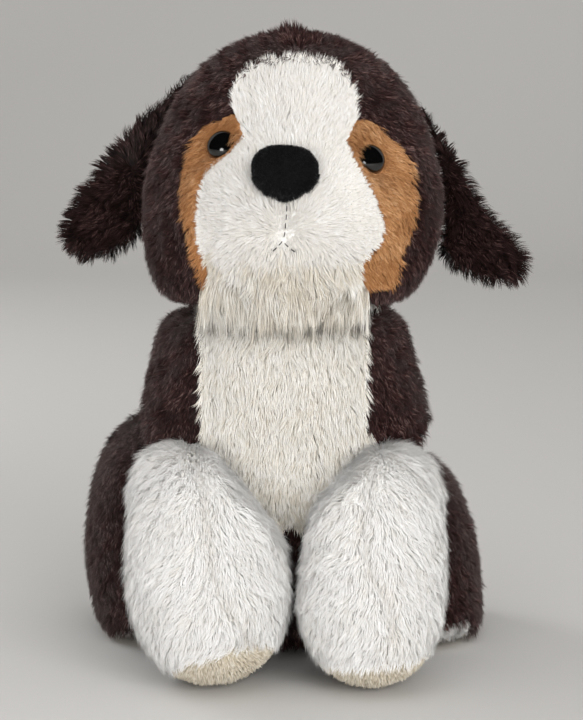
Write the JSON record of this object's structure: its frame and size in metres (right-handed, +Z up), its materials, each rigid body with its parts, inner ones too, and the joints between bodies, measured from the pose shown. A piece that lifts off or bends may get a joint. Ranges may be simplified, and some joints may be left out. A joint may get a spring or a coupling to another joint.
{
  "type": "plush dog",
  "caption": "Sitting stuffed plush puppy with drop ears, a white blaze and chest, brown body, turning head, lifting legs and a wagging tail.",
  "frame": {"origin": "on the flat base panel under the seat, near its front edge, in the dog's middle plane", "axes": "+Z up, the dog faces -Y, its own left is +X"},
  "size_m": [0.2259, 0.2398, 0.2992],
  "materials": {
    "white_plush": "long white pile",
    "cream_plush": "long creamy white pile",
    "brown_plush": "dark brown pile with a soft sheen",
    "dark_brown_plush": "shaggy near-black brown pile",
    "tan_plush": "short tan pile",
    "beige_plush": "short beige pile",
    "nose_velvet": "short black velvet",
    "thread": "grey-brown embroidery thread",
    "fibre_filling": "white polyester fibre",
    "linen": "plain woven linen",
    "eye_plastic": "glossy black dome with a dark amber rim",
    "washer_plastic": "natural white plastic"
  },
  "bodies": {
    "torso": {"torso_filling": "fibre_filling", "chest_panel": "cream_plush", "left_side_panel": "brown_plush", "right_side_panel": "brown_plush", "base_panel": "brown_plush", "pellet_bag": "linen"},
    "neck": {"neck_filling": "fibre_filling"},
    "head": {"head_filling": "fibre_filling", "muzzle_panel": "white_plush", "chin_panel": "cream_plush", "nose_cover": "nose_velvet", "nose_filling": "fibre_filling", "mouth_thread": "thread", "left_cheek_patch": "tan_plush", "left_head_panel": "brown_plush", "left_eye": "eye_plastic", "left_eye_washer": "washer_plastic", "right_cheek_patch": "tan_plush", "right_head_panel": "brown_plush", "right_eye": "eye_plastic", "right_eye_washer": "washer_plastic"},
    "left_ear": {"left_ear_front_panel": "dark_brown_plush", "left_ear_back_panel": "dark_brown_plush"},
    "right_ear": {"right_ear_front_panel": "dark_brown_plush", "right_ear_back_panel": "dark_brown_plush"},
    "left_foreleg": {"left_foreleg_outer_panel": "white_plush", "left_foreleg_inner_panel": "white_plush", "left_foreleg_sole": "beige_plush", "left_foreleg_filling": "fibre_filling"},
    "right_foreleg": {"right_foreleg_outer_panel": "white_plush", "right_foreleg_inner_panel": "white_plush", "right_foreleg_sole": "beige_plush", "right_foreleg_filling": "fibre_filling"},
    "left_hind_leg": {"left_thigh_outer_panel": "brown_plush", "left_thigh_inner_panel": "brown_plush", "left_hind_paw_panel": "white_plush", "left_hind_sole": "beige_plush", "left_hind_leg_filling": "fibre_filling"},
    "right_hind_leg": {"right_thigh_outer_panel": "brown_plush", "right_thigh_inner_panel": "brown_plush", "right_hind_paw_panel": "white_plush", "right_hind_sole": "beige_plush", "right_hind_leg_filling": "fibre_filling"},
    "tail": {"left_tail_panel": "brown_plush", "right_tail_panel": "brown_plush", "tail_filling": "fibre_filling"}
  },
  "joints": [
    {"name": "head_turn", "type": "hinge", "parent": "torso", "child": "neck", "pos_m": [0.002, 0.005, 0.168], "axis": [0, 0, 1], "range_deg": [-20, 20], "stiffness_Nm_per_rad": 2},
    {"name": "head_nod", "type": "hinge", "parent": "neck", "child": "head", "pos_m": [0.002, 0.005, 0.168], "axis": [1, 0, 0], "range_deg": [-8, 8], "stiffness_Nm_per_rad": 4},
    {"name": "left_ear_swing", "type": "hinge", "parent": "head", "child": "left_ear", "pos_m": [0.07289, -0.00529, 0.20323], "axis": [0.1709, -0.3446, -0.9231], "range_deg": [-25, 30], "stiffness_Nm_per_rad": 0.3},
    {"name": "right_ear_swing", "type": "hinge", "parent": "head", "child": "right_ear", "pos_m": [-0.06657, 0.00446, 0.21055], "axis": [0.3124, 0.3108, 0.8977], "range_deg": [-25, 30], "stiffness_Nm_per_rad": 0.3},
    {"name": "left_foreleg_lift", "type": "hinge", "parent": "torso", "child": "left_foreleg", "pos_m": [0.052, -0.042, 0.089], "axis": [-1, 0, 0], "range_deg": [0, 30], "stiffness_Nm_per_rad": 1.5},
    {"name": "right_foreleg_lift", "type": "hinge", "parent": "torso", "child": "right_foreleg", "pos_m": [-0.053, -0.042, 0.089], "axis": [-1, 0, 0], "range_deg": [0, 30], "stiffness_Nm_per_rad": 1.5},
    {"name": "left_hind_leg_lift", "type": "hinge", "parent": "torso", "child": "left_hind_leg", "pos_m": [0.066, 0.042, 0.046], "axis": [-1, 0, 0], "range_deg": [0, 20], "stiffness_Nm_per_rad": 2},
    {"name": "right_hind_leg_lift", "type": "hinge", "parent": "torso", "child": "right_hind_leg", "pos_m": [-0.066, 0.042, 0.046], "axis": [-1, 0, 0], "range_deg": [0, 20], "stiffness_Nm_per_rad": 2},
    {"name": "tail_wag", "type": "hinge", "parent": "torso", "child": "tail", "pos_m": [0, 0.103, 0.034], "axis": [0, 0, 1], "range_deg": [-30, 30], "stiffness_Nm_per_rad": 0.3}
  ]
}
